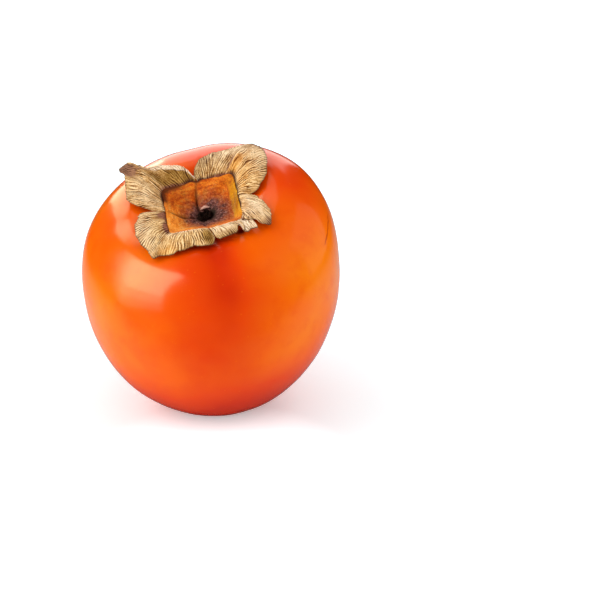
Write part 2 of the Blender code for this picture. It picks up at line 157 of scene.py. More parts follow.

# Each sepal's margin, from one notch to the next: azimuth, then in mm the reach from the core, the height
# above the fruit, and how much the blade arches above the straight line from the rim to that point.
# "arch_at" is where along the blade the arch is highest. Folds run straight between two places, each a
# share along the margin and a share out from the rim, then comes the fold's half width in mm and its
# height in mm, negative for a crease. Stains, and the dark groove at the root, are the place, its spread
# both ways and the strength. Some stains are painted light and shade as well as colour: scorched brown,
# plum and olive also paint shade beside folds, in hollows and in torn gaps, and pale paints light on
# crests. The dark along the root's groove is painted shade. A brim is the turned-over paler strip along
# the start of the margin, partly its paler underside and partly painted light on its upturned top: how
# far along it ends, and how far out it starts.
SEPALS = {
    "sepal_back_left": {
        "corner": 143.3,
        "arch_at": 0.62,
        "margin": (
            (103.0, 11.6, 3.8, 0.3), (108.0, 14.4, 4.0, 1.0), (118.5, 17.4, 3.5, 1.4),
            (129.5, 20.2, 3.5, 1.4), (137.5, 23.4, 3.6, 0.9), (139.6, 28.2, 5.2, 0.5),
            (140.4, 30.4, 5.5, 0.3), (146.6, 29.7, 5.4, 0.2), (149.8, 26.6, 5.0, 0.3),
            (153.3, 25.2, 4.0, 0.4), (162.0, 23.4, 2.5, 0.6), (169.5, 22.1, 1.8, 0.6),
            (177.0, 18.8, 1.4, 0.4), (182.5, 14.6, 1.4, 0.0),
        ),
        "folds": ((0.4, 0.08, 0.42, 0.7, 1.0, -1.1), (0.52, 0.05, 0.5, 0.6, 1.0, 0.6)),
        "brim": (0.37, 0.46),
        "scorch_and_shade": ((0.53, 1.0, 0.1, 0.34, 2.0), (0.4, 0.62, 0.12, 0.03, 0.7)),
        "plum": ((0.35, 0.0, 0.3, 0.08, 0.9),),
        "olive": ((0.17, 0.15, 0.2, 0.42, 1.8), (0.42, 0.1, 0.06, 0.5, 0.7), (0.75, 0.9, 0.3, 0.6, 0.2)),
        "ochre": ((0.5, 0.7, 0.1, 0.15, 0.4),),
        "pale": ((0.8, 0.5, 0.2, 0.4, 0.3),),
        "root": ((0.35, 0.0, 0.5, 9.0, 1.8),),
    },
    "sepal_back_right": {
        "corner": 53.3,
        "arch_at": 0.45,
        "margin": (
            (4.6, 14.4, 1.4, 0.0), (9.0, 17.2, 1.4, 0.3), (18.5, 19.9, 1.4, 0.6),
            (27.5, 22.3, 1.5, 0.7), (35.5, 24.2, 1.7, 0.8), (45.5, 26.8, 2.5, 0.8),
            (51.5, 26.5, 2.9, 0.7), (57.5, 26.3, 3.0, 0.8), (64.0, 23.6, 2.6, 0.8),
            (74.0, 21.2, 2.6, 0.7), (85.5, 19.2, 2.6, 0.6), (93.5, 16.8, 2.7, 0.3),
            (101.5, 12.9, 2.7, 0.0),
        ),
        "folds": ((0.5, 0.0, 0.53, 0.55, 0.7, 1.3), (0.58, 0.05, 0.62, 0.5, 0.8, -0.6)),
        "scorch_and_shade": ((0.49, 1.02, 0.09, 0.07, 2.2), (0.58, 0.3, 0.02, 0.22, 0.9)),
        "plum": ((0.65, 0.0, 0.14, 0.07, 1.2),),
        "olive": ((0.9, 0.7, 0.2, 0.5, 0.8),),
        "ochre": ((0.5, 0.2, 0.05, 0.35, 1.2), (0.25, 0.3, 0.2, 0.4, 0.5)),
        "pale": ((0.6, 0.8, 0.3, 0.4, 0.6),),
        "root": ((0.75, 0.0, 0.3, 9.0, 1.6), (0.2, 0.0, 0.3, 9.0, 0.7)),
    },
    "sepal_front_right": {
        "corner": -36.7,
        "arch_at": 0.4,
        "margin": (
            (-75.2, 18.9, 2.0, 0.6), (-73.0, 20.6, 2.2, 0.8), (-67.8, 20.8, 2.2, 0.9),
            (-61.2, 21.1, 2.3, 0.9), (-57.4, 20.5, 2.3, 0.8), (-53.4, 18.8, 2.3, 0.5),
            (-49.2, 17.8, 2.3, 0.4), (-49.4, 19.6, 2.2, 0.4), (-53.4, 22.3, 2.2, 0.3),
            (-48.8, 22.2, 2.1, 0.3), (-44.6, 23.2, 2.1, 0.2), (-42.2, 20.4, 2.3, 0.2),
            (-44.0, 17.0, 2.0, 0.2), (-37.8, 19.6, 1.5, 0.4), (-39.4, 23.0, 1.6, 0.6),
            (-37.6, 25.2, 1.5, 0.7), (-33.0, 24.6, 1.4, 0.7), (-28.0, 23.4, 1.4, 0.7),
            (-22.0, 21.7, 1.4, 0.7), (-15.0, 19.4, 1.4, 0.6), (-8.0, 17.2, 1.3, 0.4),
            (2.7, 15.0, 1.2, 0.0),
        ),
        "folds": (),
        "scorch_and_shade": ((0.73, 1.0, 0.07, 0.16, 0.8), (0.57, 0.95, 0.02, 0.3, 0.9)),
        "plum": (),
        "olive": ((0.12, 0.9, 0.1, 0.25, 0.8),),
        "ochre": ((0.7, 0.0, 0.3, 0.25, 0.4),),
        "pale": ((0.8, 0.5, 0.2, 0.4, 0.6), (0.25, 0.4, 0.3, 0.4, 0.8), (0.43, 0.8, 0.07, 0.4, 1.2)),
        "root": ((0.85, 0.0, 0.25, 9.0, 1.2),),
    },
    "sepal_front_left": {
        "corner": -126.7,
        "arch_at": 0.4,
        "margin": (
            (-178.6, 14.4, 1.0, 0.0), (-175.0, 17.5, 1.1, 0.2), (-163.5, 19.5, 1.4, 0.5),
            (-153.5, 21.0, 1.4, 0.6), (-143.0, 22.6, 1.4, 0.7), (-133.0, 23.8, 1.4, 0.8),
            (-124.5, 25.0, 1.5, 0.8), (-119.8, 26.3, 1.6, 0.8), (-115.5, 25.0, 1.5, 0.9),
            (-109.0, 24.0, 1.4, 1.0), (-100.0, 22.0, 1.4, 1.1), (-92.6, 20.4, 1.5, 1.2),
            (-84.5, 21.3, 1.6, 1.4), (-79.0, 20.7, 1.7, 1.4), (-76.0, 18.6, 1.8, 0.9),
        ),
        "folds": (),
        "scorch_and_shade": ((0.55, 1.0, 0.03, 0.05, 0.7),),
        "plum": ((0.11, 0.08, 0.1, 0.24, 1.4), (0.4, 0.06, 0.1, 0.12, 1.8)),
        "olive": ((0.3, 0.5, 0.2, 0.5, 0.3), (0.92, 0.7, 0.06, 0.3, 1.8)),
        "ochre": ((0.6, 0.9, 0.06, 0.2, 0.7),),
        "pale": ((0.72, 0.1, 0.22, 0.22, 0.8), (0.25, 0.8, 0.2, 0.3, 0.4)),
        "root": ((0.15, 0.0, 0.2, 9.0, 1.4),),
    },
}

# ---- The camera and the studio

CAMERA_ELEVATION = 24.0
CAMERA_DISTANCE = 500 * MM
CAMERA_ASIDE, CAMERA_BELOW = 26.06 * MM, 6.74 * MM  # how far it aims right of and below the middle
CAMERA_LENS, CAMERA_SENSOR = 100.0, 36.0

# Soft boxes as the fruit sees them: the azimuths of their sides (0 is the camera's side, 90 its right), the
# elevations of their lower and upper edges, the turn in their own plane, two radiances, for what shows in
# the gloss and what falls on the fruit, and the colour in the gloss. Each stands a gap further back than
# the one before, because lights in one plane hide each other.
SOFT_BOX_DISTANCE, SOFT_BOX_GAP = 0.65, 5 * MM
WARM, CREAM, WHITE = (1.0, 0.95, 0.62), (1.0, 0.98, 0.9), (1.0, 1.0, 1.0)
SOFT_BOXES = {
    "left_box": (-98.5, -50.5, -2.0, 56.0, 17.0, 2.8, 2.3, WARM),
    "left_box_middle": (-96.5, -51.5, 8.0, 56.0, 17.0, 3.6, 0.0, WARM),
    "left_box_core": (-95.0, -53.0, 20.0, 56.0, 17.0, 5.9, 0.0, WARM),
    "back_left_box": (-156.0, -136.5, 7.0, 53.0, -29.0, 5.4, 1.4, WARM),
    "back_box": (-182.0, -157.0, 0.0, 48.0, 0.0, 2.6, 0.0, CREAM),
    "back_right_box": (-196.0, -182.0, 4.0, 43.0, 0.0, 2.1, 0.0, CREAM),
    "top_box": (-172.0, -142.0, 46.0, 66.0, 0.0, 1.25, 0.0, WARM),
    "right_box": (92.0, 131.0, -2.0, 54.0, 0.0, 0.55, 0.0, CREAM),
    "right_fill": (50.0, 110.0, 10.0, 70.0, 0.0, 0.0, 1.15, WHITE),
}
ROOM_LIGHT, ROOM_GLOSS = 0.68, 0.0  # how bright the room is for matt surfaces, and in the gloss

FLOOR_SIZE, FLOOR_DROP = 8.0, 0.02 * MM
FLOOR_PALE = 1.0
FLOOR_SEEN = (0.96, 1.12, 1.15)  # stays white where it is lit, and offsets the orange light off the fruit
FLOOR_GLOW = 0.13  # what the floor adds to the light on it, so that the shadow is faint
FLOOR_FRONT_GLOW, FLOOR_FRONT, FLOOR_FRONT_REACH = 0.8, (4 * MM, -45 * MM, 0.0), (14 * MM, 42 * MM)
FLOOR_FAR_GLOW, FLOOR_FAR_REACH = 0.6, (150 * MM, 900 * MM)

# The floor as the gloss shows it: pale between two distances, and dark towards the camera
FLOOR_GLOSS, FLOOR_GLOSS_LEAST = 0.52, 0.05
FLOOR_GLOSS_STARTS, FLOOR_GLOSS_ENDS = (5 * MM, 50 * MM), (100 * MM, 330 * MM)
FLOOR_GLOSS_AHEAD = (-35 * MM, -85 * MM)


# ---- Tools for relief

NOISE_PRIMES = np.array([73856093, 19349663, 83492791])
NOISE_TABLE_SIZE = 4093


def noise(*axes, seed):
    """Smooth random values from -1 to 1, with one bump or dip about every whole unit along each axis."""
    table = np.random.default_rng(seed).uniform(-1.0, 1.0, NOISE_TABLE_SIZE)
    points = np.stack(np.broadcast_arrays(*axes), axis=-1)
    cell = np.floor(points).astype(np.int64)
    part = points - cell
    part = part * part * (3 - 2 * part)
    total = np.zeros(points.shape[:-1])
    for corner in itertools.product((0, 1), repeat=len(axes)):
        key = np.bitwise_xor.reduce((cell + corner) * NOISE_PRIMES[: len(axes)], axis=-1)
        weight = np.prod(np.where(corner, part, 1 - part), axis=-1)
        total += weight * table[key % NOISE_TABLE_SIZE]
    return total


def step(low, high, value):
    """A smooth step from 0 at low to 1 at high."""
    part = np.clip((value - low) / (high - low), 0.0, 1.0)
    return part * part * (3 - 2 * part)


def bell(off, width, power=2):
    """1 where off is 0, falling to 0 past the width. A higher power has a flatter top and steeper sides."""
    return np.exp(-((off / width) ** power))


def angle_between(first, second):
    """The smallest turn from one azimuth to another, in degrees, for numbers or arrays."""
    return (first - second + 180.0) % 360.0 - 180.0


def smooth_path(points, positions):
    """Values along a Catmull-Rom curve through evenly spaced points, for positions from 0 to 1."""
    knots = np.array(points, float)
    knots = np.vstack([2 * knots[0] - knots[1], knots, 2 * knots[-1] - knots[-2]])
    along = np.clip(positions, 0.0, 1.0) * (len(points) - 1)
    start = np.minimum(along.astype(int), len(points) - 2)
    u = (along - start)[:, None]
    before, here, there, after = (knots[start + shift] for shift in range(4))
    return here + 0.5 * u * (
        there - before
        + u * (2 * before - 5 * here + 4 * there - after + u * (3 * (here - there) + after - before))
    )


def unit(vectors):
    """The same directions with a length of 1."""
    return vectors / np.linalg.norm(vectors, axis=-1, keepdims=True)


def unit_normals(points):
    """Normals of a grid whose rows run outward and whose columns run anticlockwise: they point up."""
    return unit(np.cross(np.gradient(points, axis=0), np.gradient(points, axis=1)))


# ---- The shape of the fruit


def cartesian(azimuth, reach, height):
    """Points in the fruit's frame. The whole fruit, calyx included, drifts sideways as it rises."""
    x = reach * np.cos(np.radians(azimuth)) + DRIFT[0] * height
    y = reach * np.sin(np.radians(azimuth)) + DRIFT[1] * height
    return np.stack(np.broadcast_arrays(x, y, height), axis=-1)


def cylindrical(points):
    """Azimuth, reach and height of points: the opposite of cartesian."""
    x = points[..., 0] - DRIFT[0] * points[..., 2]
    y = points[..., 1] - DRIFT[1] * points[..., 2]
    return np.degrees(np.arctan2(y, x)), np.hypot(x, y), points[..., 2]


def girth(azimuth):
    """Radius of the girth: nearly round, slightly oval and slightly three-sided."""
    oval = OVAL_SHARE * np.cos(2 * np.radians(azimuth - OVAL_AZIMUTH))
    triangle = TRIANGLE_SHARE * np.cos(3 * np.radians(azimuth - TRIANGLE_AZIMUTH))
    return GIRTH_RADIUS * (1 + oval + triangle)


def furrows(azimuth, share):
    """Depth of the four furrows. They are deepest on the shoulder and gone at the girth."""
    depth = np.zeros(np.broadcast(azimuth, share).shape)
    for side, deepest in enumerate(FURROW_DEPTHS):
        depth += deepest * bell(angle_between(azimuth, CALYX_TURN + 90.0 * side), FURROW_WIDTH)
    return depth * np.sin(math.pi * share**2)


def crown_surface(azimuth, reach):
    """Height of the fruit's upper side, with the hollow for the calyx."""
    share = np.clip(reach / girth(azimuth), 0.0, 1.0)
    dome = CROWN_HEIGHT * (1 - share**CROWN_POWER) ** (1 / CROWN_POWER)
    dimple = DIMPLE_DEPTH * bell(reach, DIMPLE_RADIUS)
    return dome - dimple - furrows(azimuth, share)


def base_surface(azimuth, reach):
    """Height of the fruit's lower side, with the shallow pit at the blossom end."""
    share = np.clip(reach / girth(azimuth), 0.0, 1.0)
    bowl = BASE_DEPTH * (1 - share**BASE_POWER) ** (1 / BASE_POWER)
    pit = BLOSSOM_PIT_DEPTH * bell(reach, BLOSSOM_PIT_RADIUS)
    return pit - bowl


def cup_rim(azimuth):
    """Distance from the core to the rim of the square cup, with rounded corners and a bowed front."""
    turn = np.radians(azimuth - CALYX_TURN)
    power = CUP_SQUARENESS
    across = np.abs(np.cos(turn)) ** power + np.abs(np.sin(turn)) ** power
    bow = FRONT_BOW * bell(angle_between(azimuth, FRONT_BOW_AZIMUTH), FRONT_BOW_WIDTH)
    wobble = RIM_WOBBLE * noise(3.5 * np.cos(turn) + 9, 3.5 * np.sin(turn) + 9, seed=15)
    return CUP_HALF_SIDE * across ** (-1 / power) + bow + wobble


def even_shares(surface, count):
    """Shares of the girth that cut the fruit's profile, from pole to girth, into pieces of equal length."""
    share = np.sin(np.linspace(0.0, 0.5 * math.pi, 4000))
    reach = girth(0.0) * share
    height = surface(0.0, reach)
    length = np.concatenate([[0.0], np.cumsum(np.hypot(np.diff(reach), np.diff(height)))])
    return np.interp(np.linspace(0.0, length[-1], count + 1), length, share)


def fruit_rings():
    """The whole round fruit as rings from the calyx end to the blossom end, poles included."""
    azimuths = np.arange(FRUIT_SEGMENTS) * 360.0 / FRUIT_SEGMENTS
    crown, base = (even_shares(surface, FRUIT_RINGS) for surface in (crown_surface, base_surface))
    halves = ((crown_surface, crown), (base_surface, base[-2::-1]))
    rings = [
        cartesian(azimuths, girth(azimuths) * share, surface(azimuths, girth(azimuths) * share))
        for surface, shares in halves
        for share in shares
    ]
    return np.array(rings)


# ---- Where the fruit rests

lean = math.radians(LEAN_AZIMUTH)
hinge = Vector((-math.sin(lean), math.cos(lean), 0.0))
TILT = np.array(Quaternion(hinge, math.radians(LEAN_ANGLE)).to_matrix())


def middle_of_girth():
    """The fruit's middle in the frame: the tipped shape has to fill the box of its solid."""
    tipped = fruit_rings().reshape(-1, 3) @ TILT.T
    low, high = (np.array(corner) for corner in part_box("fruit"))
    middle = (low + high - tipped.min(axis=0) - tipped.max(axis=0)) / 2
    middle[2] = high[2] - tipped[:, 2].max()
    return middle


GIRTH_MIDDLE = middle_of_girth()


def place(points):
    """Points of the fruit's frame, where they rest."""
    return points @ TILT.T + GIRTH_MIDDLE


# ---- Tools for meshes


def quads(index):
    """Faces between neighbouring rows and columns of a grid of vertex numbers."""
    corners = [index[:-1, :-1], index[1:, :-1], index[1:, 1:], index[:-1, 1:]]
    return np.stack(corners, axis=-1).reshape(-1, 4).tolist()


def make_piece(name, points, faces, masks, surface, flat_faces=0):
    """Makes one piece in its place, smooth but for its last flat_faces faces, with a value per vertex for
    each mask, and lets it ride on the body."""
    mesh = bpy.data.meshes.new(name)
    mesh.from_pydata(points.tolist(), [], faces)
    smooth = np.ones(len(faces), bool)
    smooth[len(faces) - flat_faces :] = False
    mesh.polygons.foreach_set("use_smooth", smooth)
    for mask, values in masks.items():
        attribute = mesh.attributes.new(mask, "FLOAT", "POINT")
        attribute.data.foreach_set("value", np.asarray(values, np.float32).ravel())
    mesh.materials.append(surface)
    piece = bpy.data.objects.new(name, mesh)
    bpy.context.scene.collection.objects.link(piece)
    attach(piece, "root")
    return piece


def turned_faces(rings, segments):
    """Faces of a closed body made of rings, of which the first and the last are shrunk to points."""
    index = 1 + np.arange((rings - 2) * segments).reshape(rings - 2, segments)
    index = np.concatenate([index, index[:, :1]], axis=1)
    last = 1 + (rings - 2) * segments
    faces = quads(index)
    faces += [(0, int(a), int(b)) for a, b in zip(index[0], index[0, 1:])]
    faces += [(last, int(b), int(a)) for a, b in zip(index[-1], index[-1, 1:])]
    return faces


def turned_points(rings):
    """Vertices for turned_faces: one for each pole and all of every ring between them."""
    return np.vstack([rings[0][:1], rings[1:-1].reshape(-1, 3), rings[-1][:1]])


def turned_mask(values):
    """A mask over rings, in the order of turned_points."""
    return np.concatenate([values[0][:1], values[1:-1].ravel(), values[-1][:1]])


def make_turned_piece(name, rings, masks, surface):
    """Makes a piece of rings, pressed flat where it would sink into the floor."""
    points = place(turned_points(rings))
    points[:, 2] = np.maximum(points[:, 2], 0.0)
    masks = {key: turned_mask(values) for key, values in masks.items()}
    return make_piece(name, points, turned_faces(*rings.shape[:2]), masks, surface)


def sheet_faces(rows, columns):
    """Faces of a closed body between two sheets, the upper one first, and how many of them wall it in."""
    upper = np.arange(rows * columns).reshape(rows, columns)
    lower = upper + rows * columns
    faces = quads(upper) + quads(lower[:, ::-1])
    rim = np.concatenate([upper[0, :-1], upper[:-1, -1], upper[-1, :0:-1], upper[:0:-1, 0]])
    there = np.roll(rim, -1)
    wall = np.stack([rim, there, there + rows * columns, rim + rows * columns], axis=-1).tolist()
    return faces + wall, len(wall)


# ---- Tools for materials


def tone(red, green, blue):
    """A linear colour from its sRGB values, 0 to 255."""
    return tuple((value / 255) ** 2.2 for value in (red, green, blue))


class Surface:
    """A node material under construction. Most methods add nodes and hand back an output socket."""

    def __init__(self, name, roughness, specular=0.5):
        self.material = bpy.data.materials.new(name)
        self.material.use_nodes = True
        self.tree = self.material.node_tree
        self.shader = self.tree.nodes["Principled BSDF"]
        self.shader.inputs["Roughness"].default_value = roughness
        self.shader.inputs["Specular IOR Level"].default_value = specular
        self.place = self.add("ShaderNodeTexCoord").outputs["Object"]

    def add(self, kind, sockets=None, **settings):
        """Adds a node and hands back the node itself."""
        node = self.tree.nodes.new(kind)
        for key, value in settings.items():
            setattr(node, key, value)
        for key, value in (sockets or {}).items():
            self.plug(value, node.inputs[key])
        return node

    def plug(self, value, socket):
        """Gives a socket a plain number or colour, or links it to another one."""
        if isinstance(value, bpy.types.NodeSocket):
            self.tree.links.new(value, socket)
        elif socket.type == "RGBA":
            socket.default_value = (*value, 1.0)
        else:
            socket.default_value = value

    def mask(self, name):
        """One of the values that make_piece stores for each vertex."""
        return self.add("ShaderNodeAttribute", attribute_name=name).outputs["Fac"]

    def noise(self, size, detail=2.0, roughness=0.5):
        """Noise from 0 to 1 whose blotches are about "size" across, in metres."""
        sockets = {"Vector": self.place, "Scale": 1 / size, "Detail": detail, "Roughness": roughness}
        return self.add("ShaderNodeTexNoise", sockets).outputs["Fac"]

    def patch(self, name, uneven, low, high, most=1.0):
        """A mask with an uneven edge: 0 where it is low, and most where it is high."""
        return self.span(self.math("ADD", self.mask(name), uneven), low, high, 0.0, most)

    def math(self, operation, first, second=0.0):
        node = self.add("ShaderNodeMath", operation=operation)
        self.plug(first, node.inputs[0])
        self.plug(second, node.inputs[1])
        return node.outputs[0]

    def span(self, value, low, high, to_low=0.0, to_high=1.0):
        """The value, moved from one range to another and held inside it."""
        sockets = {0: value, 1: low, 2: high, 3: to_low, 4: to_high}
        return self.add("ShaderNodeMapRange", sockets, clamp=True).outputs[0]

    def mix(self, factor, first, second):
        """The first colour where the factor is 0, and the second where it is 1."""
        node = self.add("ShaderNodeMix", data_type="RGBA")
        self.plug(factor, node.inputs[0])
        self.plug(first, node.inputs[6])
        self.plug(second, node.inputs[7])
        return node.outputs[2]

    def ramp(self, value, *stops):
        """A colour ramp: each stop is a position and a tone."""
        node = self.add("ShaderNodeValToRGB", {"Fac": value})
        points = node.color_ramp.elements
        while len(points) < len(stops):
            points.new(1.0)
        for point, (position, *colour) in zip(points, stops):
            point.position = position
            point.color = (*tone(*colour), 1.0)
        return node.outputs["Color"]

    def bump(self, height, distance):
        """A normal from a height of 0 to 1, over a distance in metres."""
        return self.add("ShaderNodeBump", {"Height": height, "Distance": distance}).outputs["Normal"]

    def finish(self, colour, roughness=None, normal=None):
        """Feeds the shader and hands back the material."""
        self.plug(colour, self.shader.inputs["Base Color"])
        if roughness is not None:
            self.plug(roughness, self.shader.inputs["Roughness"])
        if normal is not None:
            self.plug(normal, self.shader.inputs["Normal"])
        return self.material


# ---- The fruit


def skin_material():
    """Waxy, glossy skin: redder blotches on orange that are partly painted shade, faint freckles, a painted
    shadow by the torn sepal, a scratch and a fine grain.
    """
    skin = Surface("ripe_skin", roughness=0.18, specular=0.25)
    broad = skin.noise(20 * MM, detail=2.0, roughness=0.45)
    # Redder and darker skin, partly its own colour and partly painted shade
    blush_and_shade = skin.math("ADD", skin.mask("blush_and_shade"), skin.span(broad, 0.3, 0.7, -0.12, 0.12))
    colour = skin.ramp(blush_and_shade, (0.0, 248, 122, 0), (0.3, 243, 98, 0), (0.65, 231, 70, 0), (1.0, 206, 48, 0))
    cloud = skin.noise(6 * MM, detail=4.0, roughness=0.6)
    colour = skin.mix(skin.span(cloud, 0.5, 0.8, 0.0, 0.3), colour, tone(226, 56, 1))
    freckle = skin.add("ShaderNodeTexVoronoi", {"Vector": skin.place, "Scale": 1 / (2.6 * MM)})
    dots = skin.span(freckle.outputs["Distance"], 0.05, 0.12, 0.12, 0.0)
    colour = skin.mix(dots, colour, tone(255, 150, 30))
    # Painted shadow: the skin is darkened in the gap under the torn sepal
    colour = skin.mix(skin.mask("painted_shadow"), colour, tone(96, 22, 8))
    wander = skin.span(skin.noise(5 * MM), 0.0, 1.0, -0.9, 0.9)
    from_scratch = skin.math("ABSOLUTE", skin.math("ADD", skin.mask("above_scratch"), wander))
    scratch = skin.math("MULTIPLY", skin.span(from_scratch, 0.1, 0.4, 0.65, 0.0), skin.mask("scratch"))
    colour = skin.mix(scratch, colour, tone(164, 38, 0))
    grain = skin.noise(0.45 * MM, detail=2.0)
    shine = skin.span(skin.noise(9 * MM, detail=4.0, roughness=0.6), 0.3, 0.7, 0.13, 0.19)
    return skin.finish(colour, shine, skin.bump(grain, 0.006 * MM))


def redness(azimuth, height):
    """How much redder than orange the skin is, about 0 to 1: partly the skin's own colour, and partly
    painted shade on the front between the lamps, in the front furrow and on the underside.
    """
    off = angle_between(azimuth, STRIPE_AZIMUTH)
    # The front stripe: partly redder skin, partly painted shade between the lamps
    stripe = bell(off, np.where(off > 0, *STRIPE_WIDTHS))
    stripe = stripe * (STRIPE_BLUSH_AND_SHADE + STRIPE_TOP_BLUSH_AND_SHADE * step(*STRIPE_HEIGHTS, height))
    far = bell(angle_between(azimuth, FAR_AZIMUTH), FAR_WIDTH, 4) * step(*FAR_HEIGHTS, height)
    total = np.maximum(stripe, CROWN_BLUSH * step(*CROWN_HEIGHTS, height) + FAR_BLUSH * far)
    # The front furrow and the underside: painted shade, the furrow partly its own redder colour too
    furrow = bell(angle_between(azimuth, FURROW_AZIMUTH), FURROW_SPREAD) * step(*FURROW_HEIGHTS, height)
    return total + FURROW_BLUSH_AND_SHADE * furrow + BASE_SHADE * step(*BASE_HEIGHTS, height)


def make_fruit():
    """The whole fruit, with the flat spot that its weight has pressed into it."""
    rings = fruit_rings()
    outward = unit(rings)
    for seed, (size, deep) in enumerate(UNEVENNESS):
        dents = noise(*(np.moveaxis(rings, -1, 0) / size), seed=seed)
        rings = rings + outward * (deep * dents)[..., None]
    azimuth, _, height = cylindrical(rings)
    # Where the shadow under the torn sepal is painted on the skin
    shadow_place = cartesian(PAINTED_SHADOW_AZIMUTH, PAINTED_SHADOW_REACH, crown_surface(PAINTED_SHADOW_AZIMUTH, PAINTED_SHADOW_REACH))
    masks = {
        "blush_and_shade": redness(azimuth, height),
        "painted_shadow": bell(np.linalg.norm(rings - shadow_place, axis=-1), PAINTED_SHADOW_SIZE, 4),
        "scratch": step(*SCRATCH_SPREAD, np.abs(angle_between(azimuth, SCRATCH_AZIMUTH))),
        "above_scratch": (height - SCRATCH_HEIGHT) / MM,
    }
    piece = make_turned_piece("ripe_fruit", rings, masks, skin_material())
    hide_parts("fruit")


# ---- The calyx cup and what is left of the stem


def creases(azimuth, reach, width):
    """How deep each place of the cup lies in one of its creases, 0 to 1."""
    share = reach / cup_rim(azimuth)
    total = np.zeros(np.broadcast(azimuth, reach).shape)
    for at_rim, swing, strength in CREASES:
        off = np.radians(angle_between(azimuth, at_rim + swing * (1 - share)))
        aside = np.where(np.cos(off) > 0, np.abs(reach * np.sin(off)), reach)
        total = np.maximum(total, strength * np.exp(-aside / width))
    return total


def right_side(azimuth):
    """1 along the cup's first side, falling to 0 past its corners."""
    return bell(angle_between(azimuth, CALYX_TURN), RIGHT_SIDE_WIDTH, 6)


def cup_height(azimuth, reach):
    """Height of the cup's upper side: a hollow floor, pillows between the creases, and a steep wall."""
    share = np.clip(reach / cup_rim(azimuth), 0.0, 1.0)
    swell = np.sin(math.pi * np.clip(share / 0.9, 0.0, 1.0))
    floor = (RIM_HEIGHT - CUP_WALL_HEIGHT - CUP_FLOOR_HEIGHT) * share**1.3
    pillow = PANEL_BULGE * (1 - creases(azimuth, reach, PANEL_EDGE)) * swell
    crease = CREASE_DEPTH * creases(azimuth, reach, CREASE_WIDTH) * swell
    gentle, steep = CUP_WALL_STARTS
    start = gentle + (steep - gentle) * right_side(azimuth)
    wall = CUP_WALL_HEIGHT * step(start, 1.0, share)
    return CUP_FLOOR_HEIGHT + floor + pillow - crease + wall


def cup_material():
    """Dried calyx: ochre wall, orange-brown pillows, dark creases, a grey-purple withered middle, and
    painted shade at the left corner, along the back of the rim and over the back-left panel.
    """
    cup = Surface("dried_cup", roughness=0.75, specular=0.1)
    mottle = cup.noise(2.6 * MM, detail=5.0, roughness=0.65)
    fibres = cup.noise(0.6 * MM, detail=4.0, roughness=0.7)
    blend = cup.math("ADD", cup.math("MULTIPLY", mottle, 0.45), cup.math("MULTIPLY", fibres, 0.4))
    blend = cup.math("ADD", blend, cup.math("MULTIPLY", cup.mask("streak"), 0.15))
    colour = cup.ramp(blend, (0.34, 138, 46, 6), (0.48, 208, 92, 16), (0.62, 246, 142, 40))
    sunny = cup.ramp(blend, (0.34, 196, 88, 16), (0.5, 240, 142, 46), (0.64, 255, 184, 92))
    colour = cup.mix(cup.mask("bright"), colour, sunny)
    wall = cup.ramp(blend, (0.36, 164, 84, 2), (0.5, 210, 138, 6), (0.64, 238, 170, 30))
    colour = cup.mix(cup.mask("wall"), colour, wall)
    uneven = cup.span(mottle, 0.3, 0.7, -0.18, 0.18)
    withered = cup.ramp(fibres, (0.36, 48, 22, 24), (0.5, 96, 54, 50), (0.64, 146, 100, 92))
    colour = cup.mix(cup.patch("middle", uneven, 0.25, 0.75), colour, withered)
    # Painted shade along the back and left of the rim and over the back-left panel
    colour = cup.mix(cup.patch("shade", uneven, 0.3, 0.9, 0.9), colour, tone(70, 30, 12))
    colour = cup.mix(cup.mask("crease"), colour, tone(48, 18, 8))
    colour = cup.mix(cup.patch("scar", uneven, 0.3, 0.75), colour, tone(24, 8, 6))
    specks = cup.span(cup.noise(0.35 * MM, detail=1.0), 0.62, 0.72, 0.0, 0.6)
    colour = cup.mix(specks, colour, tone(88, 40, 16))
    return cup.finish(colour, normal=cup.bump(fibres, 0.14 * MM))


def cup_patch(azimuth, share, strength, middle, spread, power, low, high):
    """A mask for one patch of the cup."""
    return strength * bell(angle_between(azimuth, middle), spread, power) * step(low, high, share)


